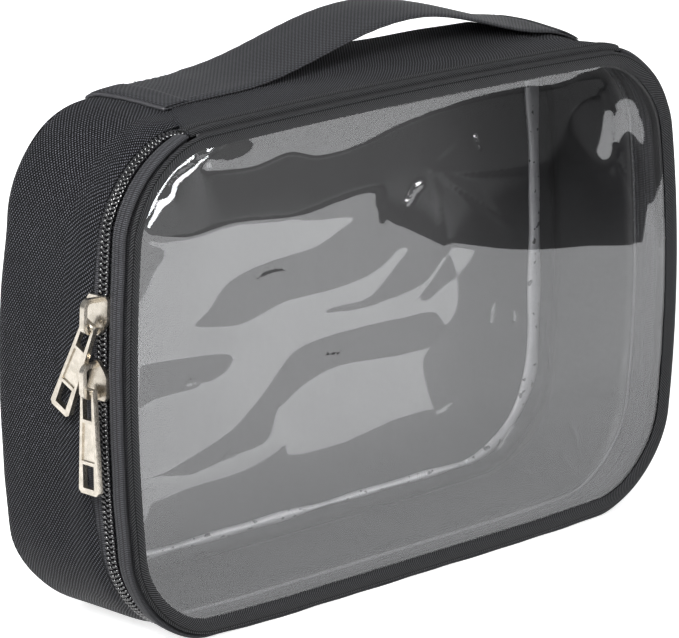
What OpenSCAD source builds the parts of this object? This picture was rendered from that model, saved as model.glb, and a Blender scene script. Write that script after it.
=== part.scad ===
// Soft makeup bag: a padded case with a clear lid that zips round three sides.
// Origin: middle of the resting face. +Z up, +X to the right, the lid faces -Y.

/* [Case] */
// Width between the corner lines, before the short sides bow out
case_w = 224; // [200:1:250]
// Height between the corner lines, before the long sides bow out
case_h = 150; // [135:1:170]
// Depth from the lid's seam to the back panel's face
case_d = 53.4; // [48:0.2:65]
// Radius of the four corners
corner_r = 28; // [24:1:32]
// How far each short side bows out at its middle
side_bow = 7; // [5:0.5:9]
// How far the top bows up at its middle
top_bow = 2.2; // [1:0.1:3]

/* [Layers] */
// Thickness of the woven outer fabric
skin_t = 0.8; // [0.6:0.1:0.8]
// Thickness of the foam behind the outer fabric
foam_t = 2.4; // [2:0.1:2.6]
// Thickness of the lining
lining_t = 0.4; // [0.3:0.1:0.4]
// Thickness of the clear sheet
window_t = 0.5; // [0.3:0.1:0.5]
// Visible width of the tape that frames the clear sheet
binding_w = 6.6; // [5:0.1:8]

/* [Zipper] */
// Distance of the chain's middle behind the lid's seam
chain_back = 9.6; // [9.2:0.1:10]
// Width of one half of the chain
coil_w = 2.2; // [2:0.1:2.4]
// Thickness of the chain
coil_t = 2; // [1.8:0.1:2]
// Thickness of the zipper tape
tape_t = 0.6; // [0.5:0.1:0.6]
// Rest height of the upper slider above the case's middle
upper_rest = 25.5; // [24:0.5:30]
// Rest height of the lower slider above the case's middle
lower_rest = 6.7; // [2:0.1:8]
// Length of a slider
slider_len = 11.4; // [11:0.1:12]
// Length of a pull from its cross bar's middle to its end
pull_len = 30.5; // [28:0.5:33]
// How far the upper pull leans to the rear
pull_lean = 26; // [0:1:26]

/* [Handle] */
// Width of the handle's webbing
strap_w = 29.4; // [25:0.2:30]
// Thickness of the handle's webbing
strap_t = 1.6; // [1.2:0.1:2]
// Height of the handle's arch above the top panel
strap_rise = 11.6; // [9:0.2:18]

/* [Hidden] */

fabric = [0.07, 0.07, 0.08];
webbing = [0.12, 0.12, 0.13];
tape = [0.16, 0.16, 0.17];
nylon = [0.03, 0.03, 0.04];
nickel = [0.80, 0.76, 0.68];
lining = [0.10, 0.10, 0.11];
foam = [0.30, 0.30, 0.32];
thread = [0.20, 0.20, 0.21];
clear = [0.75, 0.78, 0.80, 0.4];

// Gap kept between parts that move against each other
gap = 0.3;
// Smallest overlap of a cutting solid past the face that it cuts
past = 1;

// Height of the case's middle: the bottom sags this far below its corner lines
base_drop = 1.9;
bottom_bow = 2.5;
mid_z = case_h/2 + base_drop;

// Depths of the layers, front to back
seam_y = -26;
back_y = seam_y + case_d;
window_y = seam_y - 0.1;
binding_y = window_y - window_t;
binding_t = 1.5;
chain_y = seam_y + chain_back;
chain_gap = 0.75;
gusset_y = chain_y + 4.9;
tape_end_y = gusset_y + 6.5;
lining_y = gusset_y + 0.5;
back_inner_y = back_y - skin_t - foam_t - lining_t;

// Insets of the layers, outline to inside
hem_t = 1.2;
coil_in = 0.8;
tape_in = hem_t;
foam_in = tape_in + tape_t;
lining_in = skin_t + foam_t;
inside_in = lining_in + lining_t;

// Half width of the top panel at its front and back edge, and where the lid's zipper ends
panel_front_x = 92;
panel_back_x = 77;
panel_step_y = -2;
zip_end_x = panel_front_x + 0.5;

// Radius of the arc that each bowed short side follows, and that arc's middle
track_r = (case_h/2)^2/(2*side_bow);
track_x = -case_w/2 - side_bow + track_r;

// ---- Outline ----

corner_steps = 9;
side_steps = 9;
top_stations = [0.62, 0.42, 0.2, 0, -0.2, -0.42, -0.62];
flat_half = 0.464;

// Point of the plain rounded rectangle p, of half sizes a and b, pushed out by the bows
function bowed(p, a, b, inset) =
    let(u = p[0]/a, v = p[1]/b, across = 2*p[0]/case_w, up = 2*p[1]/case_h)
    [p[0] + side_bow*sign(u)*max(0, 1 - up^2)*u^4,
     max(-mid_z + inset,
         p[1] + (v > 0 ? top_bow : -bottom_bow)*max(0, 1 - across^2)*v^4)];

function arc(a, b, r, from) =
    [for (i = [0:corner_steps])
        let(t = from + 90*i/corner_steps)
        [sign(cos(from + 45))*(a - r) + r*cos(t), sign(sin(from + 45))*(b - r) + r*sin(t)]];

// The case's outline, moved inwards by inset, as [x, height above the middle]
function outline(inset) =
    let(a = case_w/2 - inset, b = case_h/2 - inset, r = corner_r - inset, run = b - r)
    [for (p = concat(
        [for (i = [1:side_steps - 1]) [a, run*(2*i/side_steps - 1)]],
        arc(a, b, r, 0),
        [for (s = top_stations) [s*case_w/2, b]],
        arc(a, b, r, 90),
        [for (i = [1:side_steps - 1]) [-a, run*(1 - 2*i/side_steps)]],
        arc(a, b, r, 180),
        [[-flat_half*case_w/2, -b], [flat_half*case_w/2, -b]],
        arc(a, b, r, 270)))
        bowed(p, a, b, inset)];

// Height of the top face above z = 0 at x, and how far the corner has dropped it there
function corner_drop(x) =
    let(over = max(0, abs(x) - case_w/2 + corner_r)) corner_r - sqrt(corner_r^2 - over^2);
function top_z(x) = mid_z + case_h/2 + top_bow*(1 - (2*x/case_w)^2) - corner_drop(x);

// Solid from y0 to y1 of a flat shape drawn in X and Z
module slab(y0, y1) {
    translate([0, y1, mid_z]) rotate([90, 0, 0]) linear_extrude(y1 - y0) children();
}

// Solid plate of the case's outline
module plate(y0, y1, inset) {
    slab(y0, y1) polygon(outline(inset));
}

// Closed band round the case between two insets
module band(y0, y1, outer, inner) {
    slab(y0, y1) difference() {
        polygon(outline(outer));
        polygon(outline(inner));
    }
}

// The space over the top panel: its ends run slantwise from the lid's seam to the handle
module top_space() {
    translate([0, 0, mid_z + case_h/4]) linear_extrude(case_h) polygon([
        [-panel_front_x, seam_y - 5*past], [panel_front_x, seam_y - 5*past],
        [panel_front_x, seam_y], [panel_back_x, panel_step_y],
        [panel_back_x, back_y + past], [-panel_back_x, back_y + past],
        [-panel_back_x, panel_step_y], [-panel_front_x, seam_y]]);
}

// The space over the lid's open stretch, between the two ends of its half zipper
module lid_end_space() {
    translate([-zip_end_x, seam_y - past, mid_z + case_h/4])
        cube([2*zip_end_x, case_d + 2*past, case_h]);
}

// ---- Case, fabric ----

module gusset() {
    color(fabric) difference() {
        union() {
            band(gusset_y, back_y - skin_t, 0, skin_t);
            band(gusset_y, tape_end_y, skin_t, hem_t);
        }
        top_space();
    }
}

module gusset_foam() {
    color(foam) difference() {
        union() {
            band(lining_y, back_y - skin_t, foam_in, lining_in);
            band(tape_end_y, back_y - skin_t, skin_t, foam_in);
        }
        top_space();
    }
}

module gusset_lining() {
    color(lining) difference() {
        band(lining_y, back_y - skin_t, lining_in, inside_in);
        top_space();
    }
}

module top_panel() {
    color(fabric) intersection() {
        band(seam_y + gap, back_y - skin_t, 0, skin_t);
        top_space();
    }
}

module top_foam() {
    color(foam) intersection() {
        band(seam_y + gap, back_y - skin_t, skin_t, lining_in);
        top_space();
    }
}

module top_lining() {
    color(lining) intersection() {
        band(seam_y + gap, back_y - skin_t, lining_in, inside_in);
        top_space();
    }
}

module back_panel() {
    color(fabric) plate(back_y - skin_t, back_y, 0);
}

module back_foam() {
    color(foam) plate(back_y - skin_t - foam_t, back_y - skin_t, inside_in);
}

module back_lining() {
    color(lining) plate(back_inner_y, back_y - skin_t - foam_t, inside_in);
}

// Tape over the seam between the back lining and the side lining, which laps onto the back
module back_seam_binding() {
    seam_in = 12.5;
    color(tape) band(back_inner_y - 2, back_inner_y, seam_in, seam_in + 4.5);
}

// Raised tape along the front edge of the top panel, where the lid folds open
module hinge_tape() {
    hinge_tape_w = 5.6;
    hinge_tape_t = 0.5;
    color(tape) intersection() {
        band(seam_y + gap, seam_y + gap + hinge_tape_w, -hinge_tape_t, 0);
        translate([-panel_back_x - 8, seam_y, mid_z])
            cube([2*panel_back_x + 16, case_d, case_h]);
    }
}

// ---- Handle ----

strap_y = back_y - strap_w;
// Length of each folded end of the webbing
hem_len = 8;
sewn_left = -50;
sewn_right = 90;
strap_left = -78;
strap_right = sewn_right + hem_len;
peak_x = (sewn_left + sewn_right)/2 + 1;

// Height of the strap's underside above the top face at x
function lift(x) =
    x <= sewn_left || x >= sewn_right ? 0
    : let(reach = x < peak_x ? peak_x - sewn_left : sewn_right - peak_x)
      strap_rise*(1 + cos(180*(x - peak_x)/reach))/2;

// Stations along a folded end of the webbing that starts at x
function hem_stations(from) = [for (i = [0:3]) from + hem_len*i/3];

arch_steps = 24;
strap_stations = concat(hem_stations(strap_left),
    [for (i = [0:arch_steps - 1]) sewn_left + (sewn_right - sewn_left)*i/arch_steps],
    hem_stations(sewn_right));
underside = [for (x = strap_stations) [x, top_z(x) + lift(x)]];

// Points of the webbing's edge-on outline: along the underside, then back over the top
function webbing_outline(line, t) =
    concat(line, [for (i = [len(line) - 1:-1:0]) [line[i][0], line[i][1] + t]]);

module webbing_solid(line, t, y0, y1) {
    translate([0, y1, 0]) rotate([90, 0, 0]) linear_extrude(y1 - y0)
        polygon(webbing_outline(line, t));
}

module handle_strap() {
    color(webbing) webbing_solid(underside, strap_t, strap_y, back_y);
}

// Folded ends of the webbing, stitched down on top of the strap
module handle_hems() {
    fold_t = 0.9;
    color(webbing) for (from = [strap_left, sewn_right])
        webbing_solid([for (x = hem_stations(from)) [x, top_z(x) + strap_t]],
            fold_t, strap_y, back_y);
}

// One stitch: a short bar of thread that lies on the strap at x and y, turned by angle
module stitch(x, y, angle) {
    stitch_len = 2.8;
    clear_of_strap = 0.1;
    slope = asin(max(0, x - case_w/2 + corner_r)/corner_r);
    translate([x, y, top_z(x) + strap_t + clear_of_strap]) rotate([0, slope, angle])
        translate([-stitch_len/2, -0.3, 0]) cube([stitch_len, 0.6, 0.35]);
}

// A box of stitches at the left end of the strap, and a single row at the right end
module handle_stitching() {
    pitch = 4;
    box = [-66, -54];
    row = 87.5;
    edge = 3;
    color(thread) {
        for (x = concat(box, [row]), k = [0:5])
            stitch(x, strap_y + strap_w/2 + pitch*(k - 2.5), 90);
        for (k = [0.5:2.5], y = [strap_y + edge, back_y - edge])
            stitch(box[0] + pitch*k, y, 0);
    }
}

// ---- Zipper ----

module rear_zipper_tape() {
    color(tape) difference() {
        band(chain_y + chain_gap + coil_w, tape_end_y, tape_in, tape_in + tape_t);
        top_space();
    }
}

module rear_zipper_coil() {
    color(nylon) difference() {
        band(chain_y + chain_gap, chain_y + chain_gap + coil_w, coil_in, coil_in + coil_t);
        top_space();
    }
}

module front_zipper_tape() {
    color(tape) difference() {
        band(seam_y - 0.1, chain_y - chain_gap - coil_w, tape_in, tape_in + tape_t);
        lid_end_space();
    }
}

module front_zipper_coil() {
    color(nylon) difference() {
        band(chain_y - chain_gap - coil_w, chain_y - chain_gap, coil_in, coil_in + coil_t);
        lid_end_space();
    }
}

// ---- Lid ----

module window_sheet() {
    color(clear) plate(binding_y, window_y, 0.8);
}

module face_binding() {
    color(tape) band(binding_y - binding_t, binding_y, gap, gap + binding_w);
}

// Tape folded over the seam's raw edges, inside the lid
module lid_seam_binding() {
    color(tape) band(window_y, seam_y + 3.5, inside_in + 0.6, inside_in + 3);
}

// ---- Sliders, drawn with X outwards from the case, Y across the chain, Z towards the nose ----

plate_out = gap - coil_in;
plate_top = plate_out + 1.2;
plate_in = -coil_in - coil_t - gap;
slider_half_w = 4.4;
bridge_w = 1.8;
bridge_bar = 1.3;
bridge_rise = 5.6;
bar_r = 1;
bar_out = plate_top + 2.7;
bar_drop = 2.9;

// Outline of a slider's plate: square tail, wide shoulders and a tapered nose
module slider_outline(half_w) {
    tail = -slider_len/2;
    shoulder = slider_len*0.12;
    polygon([[-half_w + 0.9, tail], [half_w - 0.9, tail], [half_w, tail + 1],
        [half_w, shoulder], [half_w - 1.3, shoulder + 1.9], [1.2, -tail - 0.5], [0.5, -tail],
        [-0.5, -tail], [-1.2, -tail - 0.5], [1.3 - half_w, shoulder + 1.9],
        [-half_w, shoulder], [-half_w, tail + 1]]);
}

module slider_plate(from, to, half_w) {
    translate([from, 0, 0]) rotate([90, 0, 90]) linear_extrude(to - from)
        slider_outline(half_w);
}

// Two plates on a post, with lips along the edge that holds the case's half of the zipper
module slider_body() {
    lip_y = slider_half_w - 0.8;
    post_from = slider_len*0.13;
    lip_len = slider_len*0.5;
    slider_plate(plate_out, plate_top, slider_half_w);
    slider_plate(plate_in - 1.1, plate_in, slider_half_w);
    translate([plate_in, gap - chain_gap, post_from])
        cube([plate_out - plate_in, 2*(chain_gap - gap), slider_len/2 - post_from - 0.6]);
    translate([-tape_in + gap, lip_y, 1 - slider_len/2]) cube([tape_in - gap + plate_out,
        0.8, lip_len]);
    translate([plate_in, lip_y, 1 - slider_len/2]) cube([-tape_in - tape_t - gap - plate_in,
        0.8, lip_len]);
}

// Arch over the plate that the pull's cross bar hangs in
module slider_bridge() {
    half = slider_len/2 - 0.5;
    r = 2.6;
    translate([plate_top, bridge_w/2, 0]) rotate([90, 0, 0]) linear_extrude(bridge_w)
        difference() {
            union() {
                translate([0, -half]) square([bridge_rise - r, 2*half]);
                translate([0, r - half]) square([bridge_rise, 2*(half - r)]);
                for (z = [r - half, half - r]) translate([bridge_rise - r, z])
                    circle(r, $fn = 48);
            }
            translate([-past, bridge_bar - half])
                square([bridge_rise - r + past, 2*(half - bridge_bar)]);
            translate([-past, r - half])
                square([bridge_rise - bridge_bar + past, 2*(half - r)]);
            for (z = [r - half, half - r]) translate([bridge_rise - r, z])
                circle(r - bridge_bar, $fn = 36);
        }
}

// Pull, hanging down -Z from its cross bar at the origin, with two windows and a sunk middle
module pull(shift) {
    t = 1.7;
    half_top = 2.7;
    half_end = 4.3;
    rail = 0.8;
    eye_end = 8.4;
    foot_from = 21.8;
    foot_to = pull_len - 1.7;
    function half(d) = half_top + (half_end - half_top)*d/pull_len;
    translate([0, shift, 0]) {
        difference() {
            translate([-t/2, 0, 0]) rotate([90, 0, 90]) linear_extrude(t) polygon([
                [-half(0), 0], [half(0), 0], [half(pull_len - 1), 1 - pull_len],
                [half(pull_len) - 1, -pull_len], [1 - half(pull_len), -pull_len],
                [-half(pull_len - 1), 1 - pull_len]]);
            translate([-t, rail - half(0), -eye_end])
                cube([2*t, 2*(half(0) - rail), eye_end + past]);
            translate([-t, -half(foot_from) + 1.5, -foot_to])
                cube([2*t, 2*half(foot_from) - 3, foot_to - foot_from]);
            for (x = [t/2 - 0.5, -t/2 - past + 0.5])
                translate([x, 0, 0]) rotate([90, 0, 90])
                    linear_extrude(past) polygon([
                        [-half(eye_end) + 1, -eye_end - past],
                        [half(eye_end) - 1, -eye_end - past],
                        [half(foot_from) - 1, past - foot_from],
                        [1 - half(foot_from), past - foot_from]]);
        }
        translate([0, half(0), 0]) rotate([90, 0, 0]) cylinder(h = 2*half(0), r = bar_r, $fn = 48);
    }
}

// Puts a slider at height above the middle of the bowed left side, square to the side
module on_track(height) {
    translate([track_x, chain_y, mid_z]) rotate([0, asin(height/track_r), 0])
        translate([-track_r, 0, 0]) mirror([1, 0, 0]) children();
}

// Puts a pull upright on the slider at height. Its cross bar rests at the bottom of the
// bridge, a little higher where the pull leans and the bar is tilted with it.
module hung_pull(height, lean, shift) {
    turn = asin(height/track_r);
    out = track_r + bar_out;
    drop = bar_drop - bar_r*(1/cos(lean) - 1) - bridge_w/2*tan(lean);
    translate([track_x - out*cos(turn) - drop*sin(turn), chain_y,
               mid_z + out*sin(turn) - drop*cos(turn)])
        rotate([lean, 0, 0]) pull(shift);
}

module upper_slider_body() {
    color(nickel) on_track(upper_rest) mirror([0, 0, 1]) slider_body();
}

module upper_slider_bridge() {
    color(nickel) on_track(upper_rest) slider_bridge();
}

module upper_pull() {
    color(nickel) hung_pull(upper_rest, pull_lean, -0.3);
}

module lower_slider_body() {
    color(nickel) on_track(lower_rest) slider_body();
}

module lower_slider_bridge() {
    color(nickel) on_track(lower_rest) slider_bridge();
}

module lower_pull() {
    color(nickel) hung_pull(lower_rest, 0, 0);
}

gusset();
gusset_foam();
gusset_lining();
top_panel();
top_foam();
top_lining();
back_panel();
back_foam();
back_lining();
back_seam_binding();
hinge_tape();
handle_strap();
handle_hems();
handle_stitching();
rear_zipper_tape();
rear_zipper_coil();
window_sheet();
face_binding();
lid_seam_binding();
front_zipper_tape();
front_zipper_coil();
upper_slider_body();
upper_slider_bridge();
upper_pull();
lower_slider_body();
lower_slider_bridge();
lower_pull();
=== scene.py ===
"""Looks of the makeup bag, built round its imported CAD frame. Lengths in the helpers are mm."""
import math

import bmesh
import bpy
import numpy as np
from mathutils import Matrix, Vector
from mathutils.geometry import delaunay_2d_cdt


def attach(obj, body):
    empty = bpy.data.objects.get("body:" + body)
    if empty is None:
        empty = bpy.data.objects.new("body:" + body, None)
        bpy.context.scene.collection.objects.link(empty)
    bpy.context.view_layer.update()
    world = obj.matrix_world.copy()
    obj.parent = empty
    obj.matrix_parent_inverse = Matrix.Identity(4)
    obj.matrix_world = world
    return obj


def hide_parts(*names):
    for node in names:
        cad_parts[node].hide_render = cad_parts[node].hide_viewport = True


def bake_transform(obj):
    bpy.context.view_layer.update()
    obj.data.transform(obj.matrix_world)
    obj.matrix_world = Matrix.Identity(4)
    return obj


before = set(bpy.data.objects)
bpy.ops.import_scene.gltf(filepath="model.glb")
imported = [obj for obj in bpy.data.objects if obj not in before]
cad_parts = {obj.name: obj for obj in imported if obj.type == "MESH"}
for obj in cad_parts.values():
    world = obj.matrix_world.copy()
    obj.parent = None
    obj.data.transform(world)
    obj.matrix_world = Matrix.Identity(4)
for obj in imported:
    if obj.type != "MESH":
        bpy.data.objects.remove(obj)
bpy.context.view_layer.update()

MM = 0.001
UV = "cloth"

# ---- camera and stage


CAMERA_PLACE = (-909.13, -923.84, 412.30)
CAMERA_LOOKS = (0.67645519, 0.6924367, -0.25087804)
CAMERA_ROLL = -0.335
LENS, SENSOR = 232.0, 36.0


def link(name, data):
    obj = bpy.data.objects.new(name, data)
    bpy.context.scene.collection.objects.link(obj)
    return obj


def make_camera():
    data = bpy.data.cameras.new("camera")
    data.lens, data.sensor_width = LENS, SENSOR
    data.clip_start, data.clip_end = 0.05, 50
    cam = link("camera", data)
    forward = Vector(CAMERA_LOOKS).normalized()
    right = forward.cross(Vector((0, 0, 1))).normalized()
    up = right.cross(forward)
    roll = math.radians(CAMERA_ROLL)
    side = right * math.cos(roll) + up * math.sin(roll)
    top = up * math.cos(roll) - right * math.sin(roll)
    turn = Matrix((side, top, -forward)).transposed().to_4x4()
    cam.matrix_world = Matrix.Translation(Vector(CAMERA_PLACE) * MM) @ turn
    bpy.context.scene.camera = cam


make_camera()


class Nodes:
    """Short names for building a node tree."""

    def __init__(self, tree):
        self.tree = tree
        tree.nodes.clear()

    def add(self, kind, inputs=(), **settings):
        """A new node. inputs gives each socket, by name or number, a value or a link."""
        node = self.tree.nodes.new("ShaderNode" + kind)
        for key, value in settings.items():
            setattr(node, key, value)
        for key, value in dict(inputs).items():
            self.put(node.inputs[key], value)
        return node

    def put(self, socket, value):
        if isinstance(value, bpy.types.NodeSocket):
            self.tree.links.new(value, socket)
        else:
            socket.default_value = value

    def math(self, op, *values, clamp=False):
        return self.add("Math", enumerate(values), operation=op, use_clamp=clamp).outputs[0]

    def times(self, a, b, clamp=False):
        return self.math("MULTIPLY", a, b, clamp=clamp)

    def line(self, value, slope, start, clamp=False):
        return self.math("MULTIPLY_ADD", value, slope, start, clamp=clamp)

    def ramp(self, value, low, high, to_low=0.0, to_high=1.0):
        """Smooth step of value from low to high."""
        return self.add("MapRange", enumerate((value, low, high, to_low, to_high)),
                        interpolation_type="SMOOTHSTEP", clamp=True).outputs[0]

    def wave(self, value, period, shift=0.0):
        """0 to 1, once every period."""
        turns = self.line(value, math.tau / period, shift)
        return self.line(self.math("SINE", turns), 0.5, 0.5)

    def weave(self, u, v, pitch_u, pitch_v):
        """0 to 1, high where a thread of a plain weave comes up."""
        a = self.math("SINE", self.times(u, math.tau / pitch_u))
        b = self.math("SINE", self.times(v, math.tau / pitch_v))
        return self.line(self.times(a, b), 0.5, 0.5)

    def noise(self, vector, scale, detail=3.0, rough=0.55):
        return self.add("TexNoise", {"Vector": vector, "Scale": scale, "Detail": detail,
                                     "Roughness": rough}).outputs["Fac"]

    def mix(self, factor, a, b):
        a = a if isinstance(a, bpy.types.NodeSocket) else (*a, 1)
        return self.add("Mix", {"Factor": factor, "A": a, "B": (*b, 1)},
                        data_type="RGBA").outputs["Result"]

    def xyz(self, vector):
        return self.add("SeparateXYZ", {0: vector}).outputs

    def in_mm(self, metres):
        return self.add("VectorMath", {0: metres, "Scale": 1000.0}, operation="SCALE").outputs[0]

    def cloth_coords(self):
        """U along and V across the piece, and both as a vector, in mm from its UV map."""
        vector = self.in_mm(self.add("UVMap", uv_map=UV).outputs[0])
        return *self.xyz(vector)[:2], vector

    def bump(self, height, distance, strength=1.0, normal=None):
        inputs = {"Height": height, "Distance": distance * MM, "Strength": strength}
        if normal is not None:
            inputs["Normal"] = normal
        return self.add("Bump", inputs).outputs[0]

    def object_coords(self):
        return self.in_mm(self.add("TexCoord").outputs["Object"])


def material(name, kind="BsdfPrincipled", **sockets):
    """A new material, its node helper and its shader."""
    mat = bpy.data.materials.new(name)
    mat.use_nodes = True
    n = Nodes(mat.node_tree)
    shader = n.add(kind, {key.replace("_", " "): value for key, value in sockets.items()})
    n.add("OutputMaterial", {"Surface": shader.outputs[0]})
    return mat, n, shader


def paint(n, shader, colour, normal, roughness=None):
    n.put(shader.inputs["Base Color"], colour)
    n.put(shader.inputs["Normal"], normal)
    if roughness is not None:
        n.put(shader.inputs["Roughness"], roughness)


def board(name, corners, height, mat):
    """A flat board over the floor, part of the stage."""
    mesh = bpy.data.meshes.new(name)
    mesh.from_pydata([(x * MM, y * MM, height * MM) for x, y in corners], [],
                     [tuple(range(len(corners)))])
    mesh.materials.append(mat)
    obj = link(name, mesh)
    obj.visible_diffuse = False
    return obj


def card(name, height, corners, light):
    """A glowing board just over the floor, seen only in reflections."""
    mat, n, glow = material(name, "Emission")
    n.put(glow.inputs["Strength"], light(*n.xyz(n.object_coords())[:2], n)
          if callable(light) else light)
    obj = board(name, corners, height, mat)
    obj.visible_camera = obj.visible_shadow = False
    obj.visible_transmission = obj.visible_volume_scatter = False


# What the clear lid and the metal mirror: name, height over the floor, corners, and a
# strength or a function that builds it from x, y and the node helper
CARDS = [
    ("table", .4, [(-2600, -2600), (2600, -2600), (2600, 30), (-2600, 30)],
     lambda x, y, n: n.ramp(y, -150.0, -60.0, 2.15, 1.85)),
    ("bright_paper", .6, [(-420, -372), (318, -372), (290, -310), (118, -130), (-420, -130)],
     lambda x, y, n: n.ramp(x, -150.0, 290.0, 3.15, 3.9)),
    ("dark_corner", .7,
     [(300, -2600), (2600, -2600), (2600, -372), (445, -372), (445, -505), (300, -505)],
     lambda x, y, n: n.times(n.ramp(x, 500.0, 790.0, 1.1, 0.4),
                             n.ramp(y, -730.0, -660.0, 0.6, 0.2))),
    ("corner_glint", .9, [(520, -1130), (820, -1130), (1180, -1480), (1180, -1760), (760, -1760),
                          (520, -1400)], 15.0),
    ("left_glow", .4, [(-900, 60), (-230, 60), (-230, 800), (-900, 800)], 1.9),
    ("light_strip", .8, [(480, -225), (600, -225), (600, -120), (480, -120)], 9.0),
]
# Name, place, aim, size and watts, in metres. Only shiny things see the sparkle.
LAMPS = [
    ("sparkle", (-1.0, -0.62, 1.05), (0, 0, 0.1), (0.3, 0.3), 12),
    ("key_softbox", (-1.0, -0.62, 0.82), (0, 0, 0.1), (0.6, 0.6), 12),
    ("front_right_softbox", (1.3, -1.35, 0.42), (0, 0, 0.08), (0.5, 0.5), 14),
    ("side_softbox", (-0.48, -0.2, 0.40), (-0.1, 0, 0.12), (0.25, 0.25), 2.1),
    ("top_softbox", (0.2, 0.5, 1.7), (0, 0, 0.08), (1.0, 0.8), 2.8),
]
FLOOR_HALF = 9000


def make_world():
    """White to the camera, and a soft grey sky to everything else."""
    world = bpy.data.worlds.new("studio")
    bpy.context.scene.world = world
    world.use_nodes = True
    n = Nodes(world.node_tree)
    up = n.xyz(n.add("TexCoord").outputs["Generated"])[2]
    around = n.add("Background", {"Color": (0.96, 0.98, 1, 1),
                                  "Strength": n.ramp(up, -0.1, 0.9, 0.27, 0.48)})
    seen = n.add("Background", {"Color": (1, 1, 1, 1)})
    pick = n.add("MixShader", {0: n.add("LightPath").outputs["Is Camera Ray"],
                               1: around.outputs[0], 2: seen.outputs[0]})
    n.add("OutputWorld", {0: pick.outputs[0]})


def make_stage():
    paper = material("floor_paper", Base_Color=(0.9, 0.9, 0.9, 1), Roughness=0.9,
                     Specular_IOR_Level=0.0, Emission_Color=(1, 1, 1, 1),
                     Emission_Strength=0.75)[0]
    far = FLOOR_HALF
    board("floor", [(-far, -far), (far, -far), (far, far), (-far, far)], 0, paper)
    for spec in CARDS:
        card(*spec)
    make_world()
    for name, place, target, size, watts in LAMPS:
        data = bpy.data.lights.new(name, "AREA")
        data.shape, (data.size, data.size_y), data.energy = "RECTANGLE", size, watts
        obj = link(name, data)
        obj.location = place
        aim = Vector(target) - Vector(place)
        obj.rotation_euler = aim.to_track_quat("-Z", "Y").to_euler()
        obj.visible_camera = False
        obj.visible_diffuse = name != "sparkle"
    bpy.context.scene.view_settings.view_transform = "Standard"


make_stage()

# ---- outline and sweeps

MID_Z = 76.9
SHIFT_X = -1.1
HALF_W, HALF_H = 112.0, 75.0
CORNER = 28.0
BOW_LEFT, BOW_RIGHT, BOW_TOP, BOW_BOTTOM = 5.9, 8.1, 2.2, 2.5


def rounded(a, b, r, steps=90):
    """Closed points of a rounded rectangle from its top middle, over the left side and on."""
    pts = [(-t * (a - r), b) for t in np.linspace(0, 1, steps, endpoint=False)]
    for k, (cx, cz, edge) in enumerate((
            (-1, 1, [(-a, t) for t in np.linspace(b - r, r - b, 2 * steps, endpoint=False)]),
            (-1, -1, [(t, -b) for t in np.linspace(r - a, a - r, 3 * steps, endpoint=False)]),
            (1, -1, [(a, t) for t in np.linspace(r - b, b - r, 2 * steps, endpoint=False)]),
            (1, 1, [(t, b) for t in np.linspace(a - r, 0, steps, endpoint=False)]))):
        start = math.pi / 2 * (k + 1)
        for t in np.linspace(start, start + math.pi / 2, steps, endpoint=False):
            pts.append((cx * (a - r) + r * math.cos(t), cz * (b - r) + r * math.sin(t)))
        pts += edge
    return np.array(pts)


def run_length(pts):
    """Distance along a path at each of its points."""
    return np.append(0, np.cumsum(np.linalg.norm(np.diff(pts, axis=0), axis=1)))


def unit(vectors):
    return vectors / np.linalg.norm(vectors, axis=-1)[..., None]


def at_depth(p, y):
    """XZ points p and their Y as 3-D points."""
    return np.stack(np.broadcast_arrays(p[..., 0], y, p[..., 1]), -1)


class Loop:
    """A closed outline in the XZ plane that gives points and outward normals by arc length."""

    def __init__(self, pts, n=2400):
        closed = np.vstack([pts, pts[:1]])
        step = np.linalg.norm(np.diff(closed, axis=0), axis=1)
        keep = np.append(step > 1e-6, True)
        closed = closed[keep]
        along = run_length(closed)
        self.length = along[-1]
        s = np.arange(n) * self.length / n
        p = np.stack([np.interp(s, along, closed[:, i]) for i in (0, 1)], 1)
        tangent = np.roll(p, -1, 0) - np.roll(p, 1, 0)
        for _ in range(12):
            tangent = (np.roll(tangent, 1, 0) + 2 * tangent + np.roll(tangent, -1, 0)) / 4
        tangent = unit(tangent)
        normal = np.stack([tangent[:, 1], -tangent[:, 0]], 1)
        centre = p.mean(0)
        if ((p - centre) * normal).sum() < 0:
            normal = -normal
        self.s, self.p, self.normal = s, p, normal

    def at(self, s, inset=0.0):
        """XZ points at arc lengths s, moved inwards by inset."""
        s = np.asarray(s, float) % self.length
        grid = np.append(self.s, self.length)
        p, nrm = (np.stack([np.interp(s, grid, np.append(a[:, i], a[0, i])) for i in (0, 1)], -1)
                  for a in (self.p, self.normal))
        nrm = unit(nrm)
        return p - nrm * np.asarray(inset)[..., None], nrm

    def find(self, x, z):
        """Arc length of the outline's point nearest to (x, z)."""
        d = np.hypot(self.p[:, 0] - x, self.p[:, 1] - z)
        return float(self.s[d.argmin()])


def bag_outline():
    p = rounded(HALF_W, HALF_H, CORNER)
    u, v = p[:, 0] / HALF_W, p[:, 1] / HALF_H
    x = p[:, 0] + np.where(u < 0, -BOW_LEFT, BOW_RIGHT) * np.maximum(0, 1 - v ** 2) * u ** 4
    z = p[:, 1] + np.where(v > 0, BOW_TOP, -BOW_BOTTOM) * np.maximum(0, 1 - u ** 2) * v ** 4
    return np.stack([x + SHIFT_X, np.maximum(z, -MID_Z) + MID_Z], 1)


BAG = Loop(bag_outline())
L = BAG.length


def below(x, z):
    """Arc lengths of a run round the sides and the bottom, from (-x, z) to (x, z)."""
    return BAG.find(-x, z), BAG.find(x, z)


def over_top(x, z):
    """Arc lengths of a run over the top, from (x, z) to (-x, z)."""
    return BAG.find(x, z) - L, BAG.find(-x, z)


SWELL = 1.9
TOP_Z = 150.0


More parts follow.
